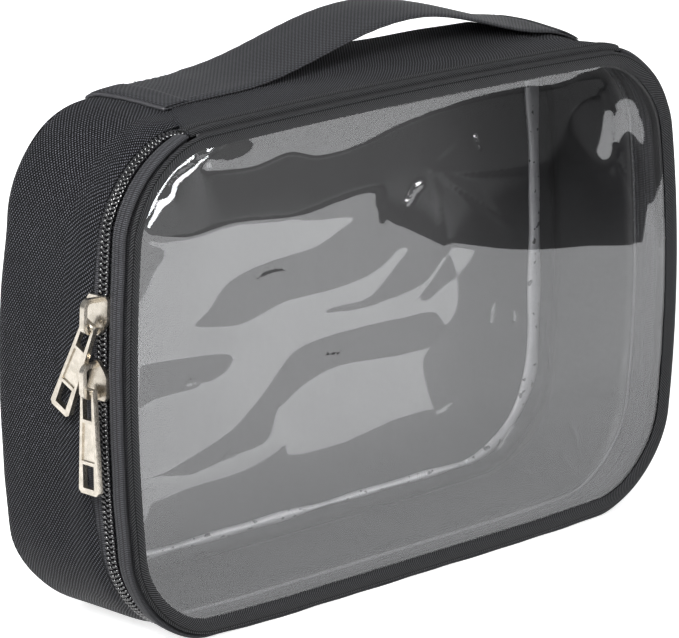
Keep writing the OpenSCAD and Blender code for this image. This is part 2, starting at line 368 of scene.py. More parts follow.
def swell(y, z, x=0.0):
    """How far the padding pushes the cloth out of the outline: most at the back, none below
    and little at the upper corners."""
    deep = np.clip((y + 8) / 26, 0, 1)
    high = np.clip((z - 4) / 30, 0, 1)
    corner = np.exp(-((np.abs(x) - 112) / 13) ** 2 - ((z - 122) / 20) ** 2)
    return (SWELL * deep * deep * (3 - 2 * deep) * high * high * (3 - 2 * high)
            * (1 - 1.3 * corner))


BACK_EDGE = Loop(BAG.at(BAG.s, -swell(27.0, BAG.p[:, 1], BAG.p[:, 0]))[0])


def new_object(name, verts, faces, mat, uvs):
    """A smooth mesh object from mm coordinates. uvs is one (u, v) in mm for each face corner."""
    mesh = bpy.data.meshes.new(name)
    mesh.from_pydata([tuple(v) for v in np.asarray(verts) * MM], [], faces)
    layer = mesh.uv_layers.new(name=UV)
    layer.data.foreach_set("uv", (np.asarray(uvs, np.float32) * MM).ravel())
    mesh.polygons.foreach_set("use_smooth", [True] * len(mesh.polygons))
    mesh.materials.append(mat)
    mesh.update()
    bm = bmesh.new()
    bm.from_mesh(mesh)
    bmesh.ops.recalc_face_normals(bm, faces=bm.faces)
    bm.to_mesh(mesh)
    bm.free()
    return link(name, mesh)


def skin(name, rings, mat, closed=False, u=None, v=None):
    """Surface over closed rings, an array (stations, points, 3). u and v are in mm."""
    ns, npt = rings.shape[:2]
    u = run_length(rings.mean(1)) if u is None else np.asarray(u, float)
    if closed and len(u) == ns:
        u = np.append(u, 2 * u[-1] - u[-2])
    if v is None:
        v = run_length(np.vstack([rings[0], rings[0][:1]]))
    faces, uvs = [], []
    for i in range(ns if closed else ns - 1):
        i1 = (i + 1) % ns
        for j in range(npt):
            j1 = (j + 1) % npt
            faces.append((i * npt + j, i1 * npt + j, i1 * npt + j1, i * npt + j1))
            uvs += [(u[i], v[j]), (u[i + 1], v[j]), (u[i + 1], v[j + 1]), (u[i], v[j + 1])]
    if not closed:
        faces.append(tuple(range(npt)))
        uvs += [(u[0], v[j]) for j in range(npt)]
        faces.append(tuple((ns - 1) * npt + j for j in reversed(range(npt))))
        uvs += [(u[-1], v[j]) for j in reversed(range(npt))]
    return new_object(name, rings.reshape(-1, 3), faces, mat, uvs)


def sweep(name, mat, s, profile, loop=BAG, closed=False):
    """Carries a profile along the outline. profile(s) gives (stations, points, 2) of
    inset and y, or is one list of them."""
    s = np.asarray(s, float)
    section = profile(s) if callable(profile) else np.broadcast_to(
        np.asarray(profile, float), (len(s), len(profile), 2))
    p, _ = loop.at(np.repeat(s[:, None], section.shape[1], 1), section[:, :, 0])
    return skin(name, at_depth(p, section[:, :, 1]), mat, closed=closed, u=s)


def circle(n):
    """Angles of n points round a circle."""
    return np.linspace(0, math.tau, n, endpoint=False)


def stations(s0, s1, step):
    n = max(2, int(round(abs(s1 - s0) / step)) + 1)
    return np.linspace(s0, s1, n)


def all_round(step, loop=BAG):
    n = round(loop.length / step)
    return np.arange(n) * loop.length / n


def smooth_path(points, per=6):
    """Catmull-Rom points through a list, open."""
    p = np.asarray(points, float)
    q = np.vstack([2 * p[0] - p[1], p, 2 * p[-1] - p[-2]])
    out = []
    for i in range(1, len(q) - 2):
        for t in np.linspace(0, 1, per, endpoint=False):
            a = 2 * q[i]
            b = (q[i + 1] - q[i - 1]) * t
            c = (2 * q[i - 1] - 5 * q[i] + 4 * q[i + 1] - q[i + 2]) * t * t
            d = (3 * q[i] - q[i - 1] - 3 * q[i + 1] + q[i + 2]) * t ** 3
            out.append((a + b + c + d) / 2)
    out.append(p[-1])
    return np.array(out)


def ripple(s, y, size=1.0):
    """Gentle, repeatable unevenness of sewn fabric, in mm."""
    return size * (0.22 * np.sin(s / 23.0 + 0.7) * np.sin(y / 17.0 + 1.1)
                   + 0.16 * np.sin(s / 11.0 + y / 13.0) + 0.10 * np.sin(s / 5.3 - y / 7.0 + 2.0))


# ---- materials


def oxford():
    mat, n, sh = material("oxford_cloth", Roughness=0.72, Specular_IOR_Level=0.15,
                          Sheen_Weight=0.02, Sheen_Roughness=0.4)
    u, v, vec = n.cloth_coords()
    wob = n.line(n.noise(vec, 0.12, 2), 0.9, -0.45)
    height = n.weave(n.math("ADD", u, wob), v, 1.32, 1.22)
    thread = n.noise(vec, 1.3, 2, 0.7)
    patch = n.noise(vec, 0.035, 3)
    # The raised floats are painted lighter: a painted glint on each float, mixed with the threads'
    # own random tone.
    thread_tone_and_glint = n.times(n.ramp(height, 0.6, 0.95), n.line(thread, 1.4, 0.25))
    thread_tone_and_glint = n.times(thread_tone_and_glint, n.line(patch, 0.7, 0.62), clamp=True)
    paint(n, sh, n.mix(thread_tone_and_glint, (0.002, 0.002, 0.0028), (0.117, 0.12, 0.138)),
          n.bump(height, 0.2, 1.0), n.ramp(height, 0.3, 1.0, 0.85, 0.55))
    return mat


def herringbone(name, centre, slope):
    """Ribs that leave a middle line at V = centre to both sides, at a slope."""
    mat, n, sh = material(name, Roughness=0.7, Specular_IOR_Level=0.15, Sheen_Weight=0.015,
                          Sheen_Roughness=0.4)
    u, v, vec = n.cloth_coords()
    off = n.math("ABSOLUTE", n.math("SUBTRACT", v, centre))
    across = n.line(off, slope, u)
    ribs = n.wave(across, 0.95)
    middle = n.ramp(off, 0.0, 0.3, 0.25, 1.0)
    height = n.times(ribs, middle)
    fibre = n.wave(n.line(off, -0.8, u), 0.42)
    fuzz = n.noise(vec, 1.8, 2, 0.7)
    # The raised ribs are painted lighter: a painted highlight on the ribs, mixed with the fibres'
    # own random tone.
    thread_tone_and_glint = n.times(n.ramp(height, 0.25, 0.9), n.line(fibre, 0.45, 0.55))
    thread_tone_and_glint = n.times(thread_tone_and_glint, n.line(fuzz, 1.1, 0.35), clamp=True)
    paint(n, sh, n.mix(thread_tone_and_glint, (0.003, 0.00306, 0.00336), (0.072, 0.07344, 0.07848)),
          n.bump(height, 0.18, 0.85), n.ramp(height, 0.2, 1.0, 0.85, 0.6))
    return mat


def zip_tape():
    mat, n, sh = material("zip_tape", Roughness=0.75, Specular_IOR_Level=0.2,
                          Sheen_Weight=0.03)
    u, v, vec = n.cloth_coords()
    ribs = n.wave(n.line(n.noise(vec, 0.4, 2), 0.5, u), 0.58)
    columns = n.wave(v, 1.9, 0.6)
    height = n.times(ribs, n.line(n.ramp(columns, 0.05, 0.5), 0.6, 0.4))
    fuzz = n.noise(vec, 2.0, 2, 0.7)
    # The raised ribs are painted lighter: a painted highlight, mixed with the yarn's own random
    # tone.
    thread_tone_and_glint = n.times(height, n.line(fuzz, 1.3, 0.2), clamp=True)
    paint(n, sh, n.mix(thread_tone_and_glint, (0.005, 0.0051, 0.006), (0.098, 0.099, 0.11)),
          n.bump(height, 0.12, 0.8))
    return mat


def webbing():
    mat, n, sh = material("webbing", Roughness=0.6, Specular_IOR_Level=0.25, Sheen_Weight=0.05,
                          Sheen_Roughness=0.35)
    u, v, vec = n.cloth_coords()
    row = n.math("FLOOR", n.math("DIVIDE", v, 0.75))
    shift = n.times(n.math("MODULO", row, 2.0), math.pi)
    picks = n.line(n.math("SINE", n.line(u, math.tau / 1.5, shift)), 0.5, 0.5)
    warp = n.wave(v, 0.75)
    height = n.times(picks, n.line(warp, 0.6, 0.4))
    fuzz = n.noise(vec, 1.6, 2, 0.7)
    # The raised picks are painted lighter: a painted highlight, mixed with the yarn's own random
    # tone.
    thread_tone_and_glint = n.times(height, n.line(fuzz, 1.2, 0.3), clamp=True)
    paint(n, sh, n.mix(thread_tone_and_glint, (0.007, 0.0071, 0.008), (0.066, 0.067, 0.076)),
          n.bump(height, 0.14, 0.7))
    return mat


def coil_nylon():
    mat, n, sh = material("coil_nylon", Roughness=0.18, Specular_IOR_Level=0.9)
    vec = n.object_coords()
    n.put(sh.inputs["Base Color"],
          n.mix(n.noise(vec, 0.6, 2), (0.003, 0.003, 0.0035), (0.014, 0.014, 0.016)))
    n.put(sh.inputs["Roughness"], n.ramp(n.noise(vec, 1.5, 2), 0.3, 0.7, 0.13, 0.24))
    return mat


def nickel():
    mat, n, sh = material("nickel", Metallic=1.0, Roughness=0.2)
    vec = n.object_coords()
    stretch = n.add("Mapping", {"Vector": vec, "Scale": (3.0, 3.0, 0.25)})
    brushed = n.noise(stretch.outputs[0], 2.2, 3, 0.7)
    cloud = n.noise(vec, 0.35, 3)
    paint(n, sh, n.mix(n.ramp(cloud, 0.35, 0.65), (0.43, 0.395, 0.34), (0.53, 0.49, 0.43)),
          n.bump(brushed, 0.015, 0.5), n.ramp(brushed, 0.3, 0.7, 0.2, 0.38))
    return mat


def lining():
    mat, n, sh = material("lining_cloth", Roughness=0.5, Specular_IOR_Level=0.3)
    u, v, vec = n.cloth_coords()
    height = n.weave(u, v, 0.5, 0.5)
    cloud = n.noise(vec, 0.05, 4)
    paint(n, sh,
          n.mix(n.times(height, cloud), (0.006, 0.006, 0.007), (0.03, 0.03, 0.033)),
          n.bump(n.noise(vec, 0.06, 3), 1.2, 0.4, n.bump(height, 0.05, 0.5)))
    return mat


def piping():
    """Coated tape round the back seam, which catches the light inside the bag. Its pale colour is
    partly the tape's own and partly a painted highlight along its fold, broken by dark spots.
    """
    mat, n, sh = material("coated_piping", Roughness=0.35, Specular_IOR_Level=0.5)
    vec = n.cloth_coords()[2]
    cloud = n.noise(vec, 0.16, 3, 0.6)
    spot = n.ramp(n.noise(vec, 0.32, 1), 0.62, 0.66)
    # Pale tone: partly the tape's own colour, partly a painted highlight along the fold.
    pale_and_painted_highlight = n.mix(cloud, (0.20, 0.20, 0.21), (0.40, 0.40, 0.42))
    paint(n, sh, n.mix(spot, pale_and_painted_highlight, (0.02, 0.02, 0.022)), n.bump(cloud, 0.5, 0.5))
    return mat


def foam():
    mat, n, sh = material("foam", Roughness=0.95, Specular_IOR_Level=0.1)
    cells = n.add("TexVoronoi", {"Vector": n.object_coords(), "Scale": 1.6}).outputs["Distance"]
    paint(n, sh, n.mix(cells, (0.07, 0.07, 0.075), (0.2, 0.2, 0.21)), n.bump(cells, 0.3, 0.6))
    return mat


def thread():
    mat, n, sh = material("sewing_thread", Roughness=0.55, Specular_IOR_Level=0.3)
    twist = n.noise(n.object_coords(), 3.0, 2)
    paint(n, sh, n.mix(twist, (0.02, 0.02, 0.022), (0.08, 0.08, 0.087)), n.bump(twist, 0.08, 0.6))
    return mat


def clear_vinyl():
    """Mirror whose alpha is Schlick's reflectance, the same on both faces of the thin sheet."""
    mat, n, sh = material("clear_vinyl", Roughness=0.015, Metallic=1.0,
                          Base_Color=(0.97, 0.98, 1.0, 1))
    haze = n.noise(n.object_coords(), 0.03, 3)
    facing = n.add("LayerWeight", {"Blend": 0.5}).outputs["Facing"]
    alpha = n.line(n.math("POWER", facing, 5.0), 0.955, 0.045)
    n.put(sh.inputs["Alpha"], n.line(haze, 0.006, alpha, clamp=True))
    return mat


OXFORD, WEB, TAPE = oxford(), webbing(), zip_tape()
BINDING = herringbone("herringbone_binding", 2.8, -1.1)
HINGE = herringbone("herringbone_hinge", 2.9, 1.25)
COIL, METAL, LINING, PIPING = coil_nylon(), nickel(), lining(), piping()
FOAM, THREAD, VINYL = foam(), thread(), clear_vinyl()

# ---- depths

SEAM_Y, BACK_Y, CHAIN_Y = -26.0, 27.4, -16.4
WINDOW_Y = -26.35


def fold_edge(s):
    """Y of the case fabric's folded front edge: it bares more zipper tape low on the left."""
    p, _ = BAG.at(s)
    x, z = p[:, 0], p[:, 1]
    bare = np.exp(-((z - 62) / 34) ** 2)
    side = 1 / (1 + np.exp((x + 95) / 6)) + 0.55 / (1 + np.exp(-(x - 95) / 6))
    floor = 0.35 * np.exp(-(z / 9) ** 4)
    return -13.5 + 6.0 * np.maximum(bare * side, floor)


# ---- case fabric

S_TOP_LEFT, S_TOP_RIGHT = below(91.5, 148)
HEM_Y = -13.0


def panel_end(side, y):
    """X of the top panel's slanted end at depth y."""
    t = np.clip((y - SEAM_Y) / 24.0, 0, 1)
    return side * (92 - 15 * t)


def make_gusset():
    """Side and bottom cloth. Its ends follow the top panel's slanted ends."""
    n_round, n_deep = 560, 40

    def end_s(side, y):
        return np.array([BAG.find(x, 152) for x in panel_end(side, y) - side * 1.5])

    t = np.linspace(0, 1, n_round)
    s_hem = S_TOP_LEFT + (S_TOP_RIGHT - S_TOP_LEFT) * t
    edge = fold_edge(s_hem)
    depth = np.linspace(0, 1, n_deep)
    ends_y = HEM_Y + (BACK_Y - HEM_Y) * depth
    left, right = end_s(-1, ends_y), end_s(1, ends_y)
    rows = []
    for k, d in enumerate(depth):
        s = left[k] + (right[k] - left[k]) * t
        y = edge + (BACK_Y - 0.5 - edge) * d
        front = y - edge
        inset = (1.25 * np.exp(-(front / 2.7) ** 1.4)
                 + 1.9 * np.exp(-((BACK_Y - y) / 1.5) ** 1.3))
        inset = inset - 0.25 * np.sin(np.pi * d) + 0.3 - ripple(s, y) * np.minimum(1, front / 6)
        p, _ = BAG.at(s)
        p, _ = BAG.at(s, np.maximum(inset, 0.0) - swell(y, p[:, 1], p[:, 0]))
        rows.append(at_depth(p, y))
    outer = np.array(rows)
    # Folded hem, then back inside along the lining's side
    turn = []
    s = left[0] + (right[0] - left[0]) * t
    for dy, inset in ((-0.25, 1.45), (0.0, 1.75), (1.2, 1.8), (6.0, 1.8)):
        p, _ = BAG.at(s, inset)
        turn.append(at_depth(p, edge + dy))
    inner = []
    for k in range(4, n_deep, 4):
        s = left[k] + (right[k] - left[k]) * t
        y = edge + 6.5 + (BACK_Y - 1.0 - edge - 6.5) * depth[k]
        p, _ = BAG.at(s, 1.25 if k < n_deep - 6 else 1.9)
        inner.append(at_depth(p, y))
    ring = np.concatenate([outer[::-1], np.array(turn), np.array(inner)], 0).transpose(1, 0, 2)
    return skin("gusset_cloth", ring, OXFORD, u=s_hem)


def put(obj, body, slot, *nodes):
    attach(obj, body)
    if nodes:
        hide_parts(*nodes)
    return obj


gusset = put(make_gusset(), "case", "oxford", "gusset")


def top_height(x):
    """Height of the top face over x, from the outline."""
    s = np.linspace(BAG.find(-118, 120), BAG.find(118, 120) - L, 1200)
    p, _ = BAG.at(s)
    order = np.argsort(p[:, 0])
    return np.interp(x, p[order, 0], p[order, 1])


def make_top_panel():
    n_along, n_deep = 260, 44
    ys = SEAM_Y + 0.4 + (BACK_Y - 0.5 - SEAM_Y - 0.4) * np.linspace(0, 1, n_deep)
    rows = []
    for y in ys:
        x0, x1 = panel_end(-1, y), panel_end(1, y)
        x = x0 + (x1 - x0) * np.linspace(0, 1, n_along)
        end = np.minimum(x - x0, x1 - x)
        drop = (0.9 * np.exp(-end ** 1.5) - 0.55 + 0.5 * np.exp(-(y - SEAM_Y) / 1.2)
                + 1.8 * np.exp(-((BACK_Y - y) / 1.5) ** 1.3))
        z = top_height(x) - drop + 0.8 * ripple(x, y) + swell(y, TOP_Z)
        rows.append(at_depth(np.stack([x, z], 1), y))
    outer = np.array(rows)
    inner = outer[::-1].copy()
    inner[:, :, 2] -= 1.0
    ring = np.concatenate([outer, inner], 0).transpose(1, 0, 2)
    return skin("top_panel_cloth", ring, OXFORD, u=np.linspace(-92, 92, n_along))


top_panel = put(make_top_panel(), "case", "oxford", "top_panel")


def plate_mesh(name, mat, loop, inset, y_of, thick, step=3.0, extra=None):
    """A sheet across the outline: a grid with the outline as its edge, y by y_of(x, z).
    extra is further points of it, where it needs finer faces."""
    s = all_round(step, loop)
    rim, _ = loop.at(s, inset)
    x0, z0 = rim.min(0)
    x1, z1 = rim.max(0)
    gx, gz = np.meshgrid(np.arange(x0 + step, x1, step), np.arange(z0 + step, z1, step))
    grid = np.stack([gx.ravel(), gz.ravel()], 1)
    inner, _ = loop.at(s, inset + step * 0.7)
    grid = grid[in_polygon(grid, inner)]
    if extra is not None:
        near = np.min(np.hypot(grid[:, :1] - extra[:, 0], grid[:, 1:] - extra[:, 1]), 1)
        grid = np.vstack([grid[near > 0.5 * step], extra])
    pts = np.vstack([rim, grid])
    m = len(rim)
    verts, _, tris, *_ = delaunay_2d_cdt(
        [Vector(p) for p in pts], [(i, (i + 1) % m) for i in range(m)], [], 1, 1e-5)
    xy = np.array([tuple(v) for v in verts])
    front = at_depth(xy, y_of(xy[:, 0], xy[:, 1]))
    n = len(front)
    back = front + np.array([0, thick, 0])
    faces = [tuple(t) for t in tris] + [tuple(n + i for i in reversed(t)) for t in tris]
    edges = {pair: None for t in tris for pair in zip(t, (*t[1:], t[0]))}
    faces += [(b, a, n + a, n + b) for a, b in edges if (b, a) not in edges]
    both = np.vstack([front, back])
    uvs = [(both[i, 0], both[i, 2]) for f in faces for i in f]
    return new_object(name, both, faces, mat, uvs)


def in_polygon(points, poly):
    x, y = points[:, 0], points[:, 1]
    inside = np.zeros(len(points), bool)
    px, py = poly[:, 0], poly[:, 1]
    for i in range(len(poly)):
        j = i - 1
        crosses = (py[i] > y) != (py[j] > y)
        if crosses.any():
            xi = (px[j] - px[i]) * (y - py[i]) / (py[j] - py[i] + 1e-12) + px[i]
            inside ^= crosses & (x < xi)
    return inside


def edge_distance(x, z, loop=BAG):
    """How far each point is from the outline."""
    best = np.full(np.shape(x), 1e9)
    for px, pz in loop.at(np.arange(0, loop.length, 2.0))[0]:
        best = np.minimum(best, np.hypot(x - px, z - pz))
    return best


def make_back_panel():
    def y_of(x, z):
        d = edge_distance(x, z, BACK_EDGE)
        return BACK_Y - 0.15 - 1.9 * np.exp(-(d / 2.2) ** 1.1) + 0.15 * ripple(x * 0.7, z * 0.7)

    return plate_mesh("back_panel_cloth", OXFORD, BACK_EDGE, 1.0, y_of, -0.9, 2.2)


back_panel = put(make_back_panel(), "case", "oxford", "back_panel")

# ---- linings and foams

LINING_FRONT_Y, LINING_BACK_Y, FOAM_BACK_Y = -11.0, 23.6, 24.0
BACK_LINING_Y, BACK_FOAM_Y, LINING_INSET = 23.7, 24.1, 3.7


def lined(name, mat, s, outer, inner, y0, y1, wrinkle):
    """A soft band along the outline, with wrinkles on its inner face."""
    ys = np.linspace(y0, y1, 10)

    def profile(s):
        section = [np.stack(np.broadcast_arrays(outer, y + 0 * s), 1) for y in ys]
        bulge = wrinkle * (0.5 + 0.5 * np.sin(s / 9.0) * np.sin(s / 31.0 + 1.0))
        for y in ys[::-1]:
            share = max(0, np.sin(np.pi * (y - y0) / (y1 - y0))) ** 0.5
            section.append(np.stack(np.broadcast_arrays(inner + bulge * share, y), 1))
        return np.stack(section, 1)

    return sweep(name, mat, s, profile)


SIDES = below(78, 152)
# Piece, node, material, slot, run, step, outer and inner inset, front and back Y, wrinkle
BANDS = [
    ("gusset_lining_cloth", "gusset_lining", LINING, "lining", SIDES, 2.5,
     LINING_INSET, 4.1, LINING_FRONT_Y, LINING_BACK_Y, 1.6),
    ("gusset_foam_pad", "gusset_foam", FOAM, "foam", SIDES, 3.0,
     2.0, 3.6, LINING_FRONT_Y, FOAM_BACK_Y, 0.0),
    ("top_foam_pad", "top_foam", FOAM, "foam", over_top(77, 152), 3.0,
     1.5, 3.2, -25.3, FOAM_BACK_Y, 0.0),
    ("top_lining_cloth", "top_lining", LINING, "lining", over_top(90, 150), 2.5,
     3.3, 3.7, -25.6, LINING_BACK_Y, 0.8),
]
for name, node, mat, slot, run, step, *shape in BANDS:
    put(lined(name, mat, stations(*run, step), *shape), "case", slot, node)


def make_back_lining():
    def y_of(x, z):
        d = edge_distance(x, z)
        soft = 1.3 * (1 - np.exp(-d / 9)) * (0.5 + 0.3 * np.sin(x / 26 + 0.6) * np.sin(z / 21)
                                             + 0.2 * np.sin(x / 11 + z / 17))
        return BACK_LINING_Y - soft

    return plate_mesh("back_lining_cloth", LINING, BAG, LINING_INSET, y_of, 0.35)


put(make_back_lining(), "case", "lining", "back_lining")
put(plate_mesh("back_foam_pad", FOAM, BAG, LINING_INSET,
                                     lambda x, z: BACK_FOAM_Y, 2.0, 5.0),
                          "case", "foam", "back_foam")

# ---- bindings

# Tapes folded over the lid's edge, as (inset, y). V runs from the seam over the front.
FRONT_BINDING = [
    (2.4, -26.1), (1.85, -26.3), (1.5, -26.7), (1.45, -27.15), (1.7, -27.65), (2.4, -28.0),
    (3.3, -28.15), (4.2, -28.05), (5.0, -27.75), (5.6, -27.3), (5.95, -26.85), (5.9, -26.7),
    (4.0, -26.62), (2.6, -26.5)]
INNER_BINDING = [
    (4.3, -26.0), (4.2, -24.5), (4.6, -23.0), (5.4, -22.5), (6.2, -23.0), (6.6, -24.5),
    (6.5, -26.0)]
put(sweep("lid_binding", BINDING, all_round(1.0),
          np.vstack([smooth_path(FRONT_BINDING[:11], 4), FRONT_BINDING[11:]]), closed=True),
    "lid", "herringbone", "face_binding")
put(sweep("lid_inner_binding", LINING, all_round(2.0), smooth_path(INNER_BINDING, 3),
          closed=True), "lid", "herringbone", "lid_seam_binding")


def make_back_ring():
    """Tape over the back seam: slack, so its low corners are rounder than the bag's."""
    wide, low, high = 105.0, 68.0, 71.0
    low_half = rounded(wide, low, 34)
    p = np.where(low_half[:, 1:] < 0, low_half, rounded(wide, high, 14))
    v = p[:, 1] / high
    x = p[:, 0] + np.where(p[:, 0] < 0, -3, 3) * np.maximum(0, 1 - v ** 2) * (p[:, 0] / wide) ** 4
    loop = Loop(np.stack([x + SHIFT_X, p[:, 1] + MID_Z - 1.0], 1))

    def profile(s):
        half = 2.7 + 0.5 * np.sin(s / 13.0) * np.sin(s / 31.0 + 0.4) + 0.25 * np.sin(s / 5.0)
        near_floor = np.clip((38 - loop.at(s)[0][:, 1]) / 26, 0, 1)
        half = half - 1.5 * near_floor * near_floor * (3 - 2 * near_floor)
        a = circle(14)
        inset = 2.9 + half[:, None] * np.cos(a)
        return np.stack([inset, np.broadcast_to(22.3 - 1.1 * np.sin(a), inset.shape)], -1)

    return sweep("back_inner_binding", PIPING, all_round(2.0, loop), profile, loop=loop,
                 closed=True)


put(make_back_ring(), "case", "herringbone", "back_seam_binding")

# ---- zipper

CASE_TAPE = [
    (3.6, -16.1), (3.3, -16.1), (3.2, -13.7), (2.4, -13.35), (1.95, -12.7), (1.85, -11.0),
    (1.85, -8.0), (2.0, -7.8), (2.15, -8.0), (2.15, -11.0), (2.5, -13.0), (3.6, -13.4)]
# Puffy over the edge of the lid, then in under the coil
LID_TAPE = smooth_path([
    (2.9, -25.3), (1.7, -25.4), (1.0, -25.9), (0.45, -26.25), (0.0, -25.95), (-0.15, -25.2),
    (-0.1, -23.8), (0.1, -22.3), (0.45, -21.1), (0.95, -20.3), (1.7, -19.85), (3.1, -19.5),
    (3.35, -18.4), (3.35, -16.7), (3.6, -16.7), (3.65, -19.4), (3.1, -21.8), (2.9, -24.6)], 3)
PUFFY = slice(3, 27)
COIL_FROM_CHAIN = 1.1


def lid_tape_profile(s):
    out = np.broadcast_to(LID_TAPE, (len(s), *LID_TAPE.shape)).copy()
    out[:, PUFFY, 0] += (0.10 * np.sin(s / 7.0) + 0.08 * np.sin(s / 3.1 + 1.0))[:, None]
    return out


put(sweep("lid_tape", TAPE, stations(*below(91, 148), 0.8), lid_tape_profile),
    "lid", "tape", "front_zipper_tape")
put(sweep("case_tape", TAPE, stations(*below(84, 150), 1.2), smooth_path(CASE_TAPE, 2)),
    "case", "tape", "rear_zipper_tape")


def make_coil(name, sign, phase):
    """One half of the chain: a flattened helix of nylon wire."""
    s0, s1 = below(86, 150)
    pitch, per, sides = 1.6, 14, 6
    turns = int((s1 - s0) / pitch)
    a = np.arange(turns * per + 1) * math.tau / per
    s = s0 + pitch * a / math.tau + 0.28 * np.sin(a + 0.4) * sign
    y = CHAIN_Y + sign * (COIL_FROM_CHAIN + 0.8 * np.cos(a + phase))
    wire = (0.36 + 0.22 * np.clip(np.sin(a + phase), 0, 1) ** 3)[:, None, None]
    tuck = 1.3 * (np.exp(-((s - s0) / 5) ** 2) + np.exp(-((s1 - s) / 5) ** 2))
    p, nrm = BAG.at(s, 1.95 - 0.72 * np.sin(a + phase) + tuck)
    centre = at_depth(p, y)
    tangent = unit(np.gradient(centre, axis=0))
    side = unit(np.cross(tangent, np.stack([-nrm[:, 1], np.zeros(len(s)), nrm[:, 0]], 1)))
    third = np.cross(tangent, side)
    ang = np.arange(sides)[None, :, None] * math.tau / sides
    rings = centre[:, None] + wire * (np.cos(ang) * side[:, None] + np.sin(ang) * third[:, None])
    return skin(name, rings, COIL, u=s, v=np.arange(sides + 1) * 0.4)


HALVES = (("lid", -1, 0.0, "front_zipper_coil"), ("case", 1, math.pi, "rear_zipper_coil"))
for body, sign, phase, node in HALVES:
    put(make_coil(body + "_coil", sign, phase), body, "coil", node)

# Woven cord inside each coil, which fills the chain between its wires
for body, sign, *_ in HALVES:
    yc = CHAIN_Y + sign * COIL_FROM_CHAIN
    put(sweep(body + "_coil_core", COIL, stations(*below(92.5, 147), 1.5),
              [(2.05 - 0.4 * math.sin(a), yc + 0.6 * math.cos(a))
               for a in circle(8)]), body, "coil")

# ---- handle

STRAP_Y0, STRAP_Y1, STRAP_T = -2.0, 27.4, 1.35
STRAP_HALF, STRAP_MID = (STRAP_Y1 - STRAP_Y0) / 2, (STRAP_Y0 + STRAP_Y1) / 2
SEWN_L, SEWN_R, PEAK, RISE = -50.0, 90.0, 24.0, 11.6
STRAP_L, STRAP_R = -78.0, 98.0


def strap_lift(x):
    """How high the handle's arch is over the top face at x."""
    reach = np.where(x < PEAK, PEAK - SEWN_L, SEWN_R - PEAK)
    return RISE * (1 + np.cos(np.pi * np.clip((x - PEAK) / reach, -1, 1))) / 2


def sewn_down(x, v):
    """Moves the strap's ends: (dx, dz) at x and at v, -1 in front to 1 at the back."""
    on_case = np.clip((SEWN_L + 4 - x) / 10, 0, 1) + np.clip((x - SEWN_R) / 6, 0, 1)
    back = np.clip((v - 0.62) / 0.38, 0, 1)
    skew = -5.0 * (v + 1) / 2 * np.clip((-64 - x) / 12, 0, 1)
    return skew, -1.7 * back ** 2 * on_case - 0.5 * np.clip((-70 - x) / 7, 0, 1)


def make_strap():
    x = np.concatenate([np.linspace(STRAP_L, SEWN_L, 24), np.linspace(SEWN_L, SEWN_R, 130)[1:],
                        np.linspace(SEWN_R, STRAP_R, 8)[1:]])
    under = top_height(x) + strap_lift(x) + 0.25
    line = np.stack([x, under], 1)
    tangent = unit(np.gradient(line, axis=0))
    up = np.stack([-tangent[:, 1], tangent[:, 0]], 1)
    w = np.linspace(-1, 1, 25)
    section = ([(v, STRAP_T - 0.5 * abs(v) ** 14) for v in w]
               + [(v, 0.5 * abs(v) ** 14) for v in w[::-1]])
    rings = []
    for i in range(len(x)):
        crown = 0.3 * min(1, strap_lift(x[i]) / 4)
        ring = []
        for v, h in section:
            h = h + crown * (1 - v * v)
            dx, dz = sewn_down(x[i], v)
            y = STRAP_MID + STRAP_HALF * v * (0.995 + 0.005 * math.cos(x[i]))
            ring.append((x[i] + dx + up[i, 0] * h, y,
                         under[i] + dz + up[i, 1] * h + swell(y, TOP_Z)))
        rings.append(ring)
    return skin("handle_webbing", np.array(rings), WEB, u=run_length(line))


put(make_strap(), "case", "webbing", "handle_strap")


def make_hem(name, x0, x1):
    """The webbing's end, turned under, as a second layer on the strap."""
    x = np.linspace(x0, x1, 12)
    z = top_height(x) + STRAP_T + 0.27
    w = np.linspace(-1, 1, 21)
    rings = []
    for i in range(len(x)):
        t = (x[i] - x0) / (x1 - x0)
        thick = 0.62 * (1 - 0.75 * abs(2 * t - 1) ** 6)
        ring = []
        for sign in (1, 0):
            for v in (w if sign else w[::-1]):
                dx, dz = sewn_down(x[i], v)
                y = STRAP_MID + (STRAP_HALF - 0.15) * v
                ring.append((x[i] + dx, y, z[i] + dz + swell(y, TOP_Z)
                             + sign * thick * (1 - 0.5 * abs(v) ** 12)))
        rings.append(ring)
    return skin(name, np.array(rings), WEB, u=x)


put(make_hem("handle_hem_left", -78.3, -69.5), "case", "webbing", "handle_hems")
put(make_hem("handle_hem_right", 90, 98.3), "case", "webbing")


def make_end_fold():
    """Round fold of the webbing at its left end, given the lighter thread colour as a painted
    highlight along the fold.
    """
    rings = []
    for v in np.linspace(-0.98, 0.98, 30):
        dx, dz = sewn_down(STRAP_L, v)
        y = STRAP_MID + STRAP_HALF * v
        z = float(top_height(np.array([STRAP_L]))[0]) + 0.95 + dz + swell(y, TOP_Z)
        rings.append([(STRAP_L - 0.2 + dx - 0.62 * math.sin(a), y, z + 0.62 * math.cos(a))
                      for a in circle(10)])
    return skin("handle_end_fold", np.array(rings), THREAD)


put(make_end_fold(), "case", "webbing")


